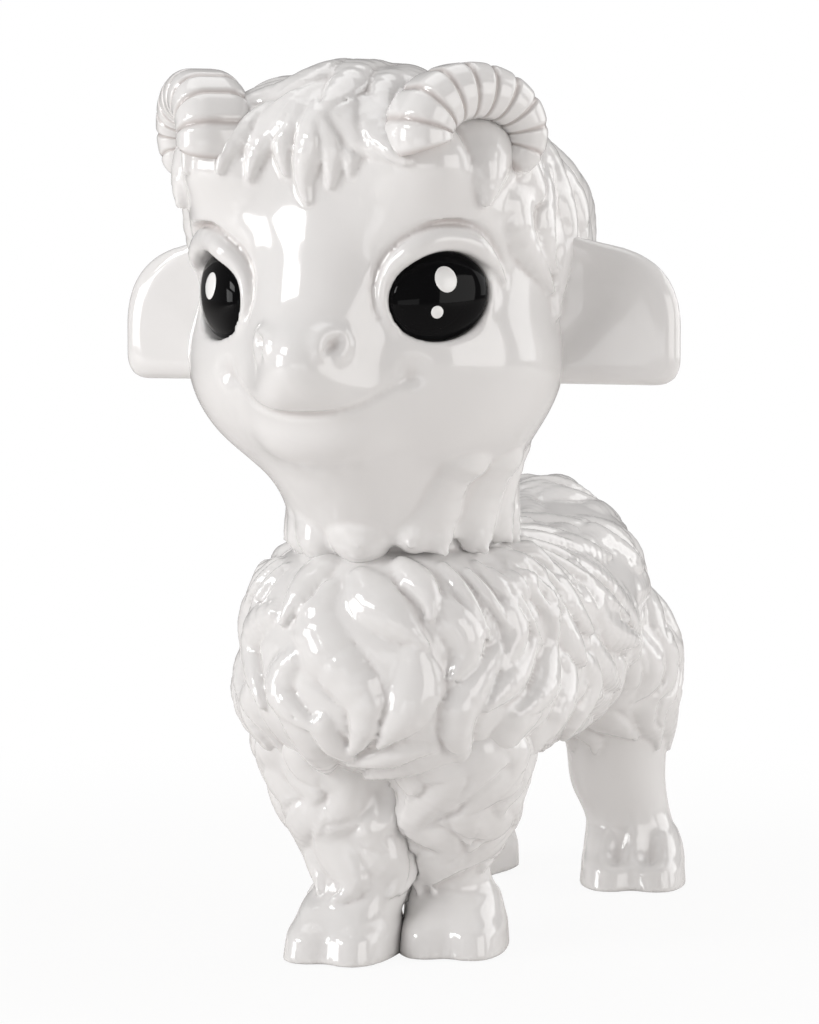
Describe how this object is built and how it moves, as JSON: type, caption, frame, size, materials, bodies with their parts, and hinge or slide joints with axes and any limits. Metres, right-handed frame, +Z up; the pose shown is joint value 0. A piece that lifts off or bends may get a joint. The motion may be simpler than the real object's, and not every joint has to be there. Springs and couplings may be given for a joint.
{
  "type": "goat figurine",
  "caption": "Glossy white glazed goat kid figurine with curled ribbed horns, slab ears, big black eyes, a fleeced body and a head that turns on its neck.",
  "frame": {"origin": "ground level under the middle of the figurine's box", "axes": "+Z up, -Y the way the goat faces, +X to the goat's left"},
  "size_m": [0.1414, 0.1988, 0.2137],
  "materials": {
    "white_glaze": "gloss",
    "black_glaze": "gloss",
    "glint_glaze": "gloss",
    "bush_cork": "matte"
  },
  "bodies": {
    "body": {"body_shell": "white_glaze", "front_left_leg": "white_glaze", "front_right_leg": "white_glaze", "rear_left_leg": "white_glaze", "rear_right_leg": "white_glaze", "tail": "white_glaze"},
    "head": {"head_shell": "white_glaze", "left_horn": "white_glaze", "right_horn": "white_glaze", "left_ear": "white_glaze", "right_ear": "white_glaze", "left_eye": "black_glaze", "right_eye": "black_glaze", "left_eye_large_glint": "glint_glaze", "left_eye_small_glint": "glint_glaze", "right_eye_large_glint": "glint_glaze", "neck_bush": "bush_cork"}
  },
  "joints": [
    {"name": "head_turn", "type": "hinge", "parent": "body", "child": "head", "pos_m": [0, -0.0313, 0.1035], "axis": [0, 0, 1], "continuous": true}
  ]
}
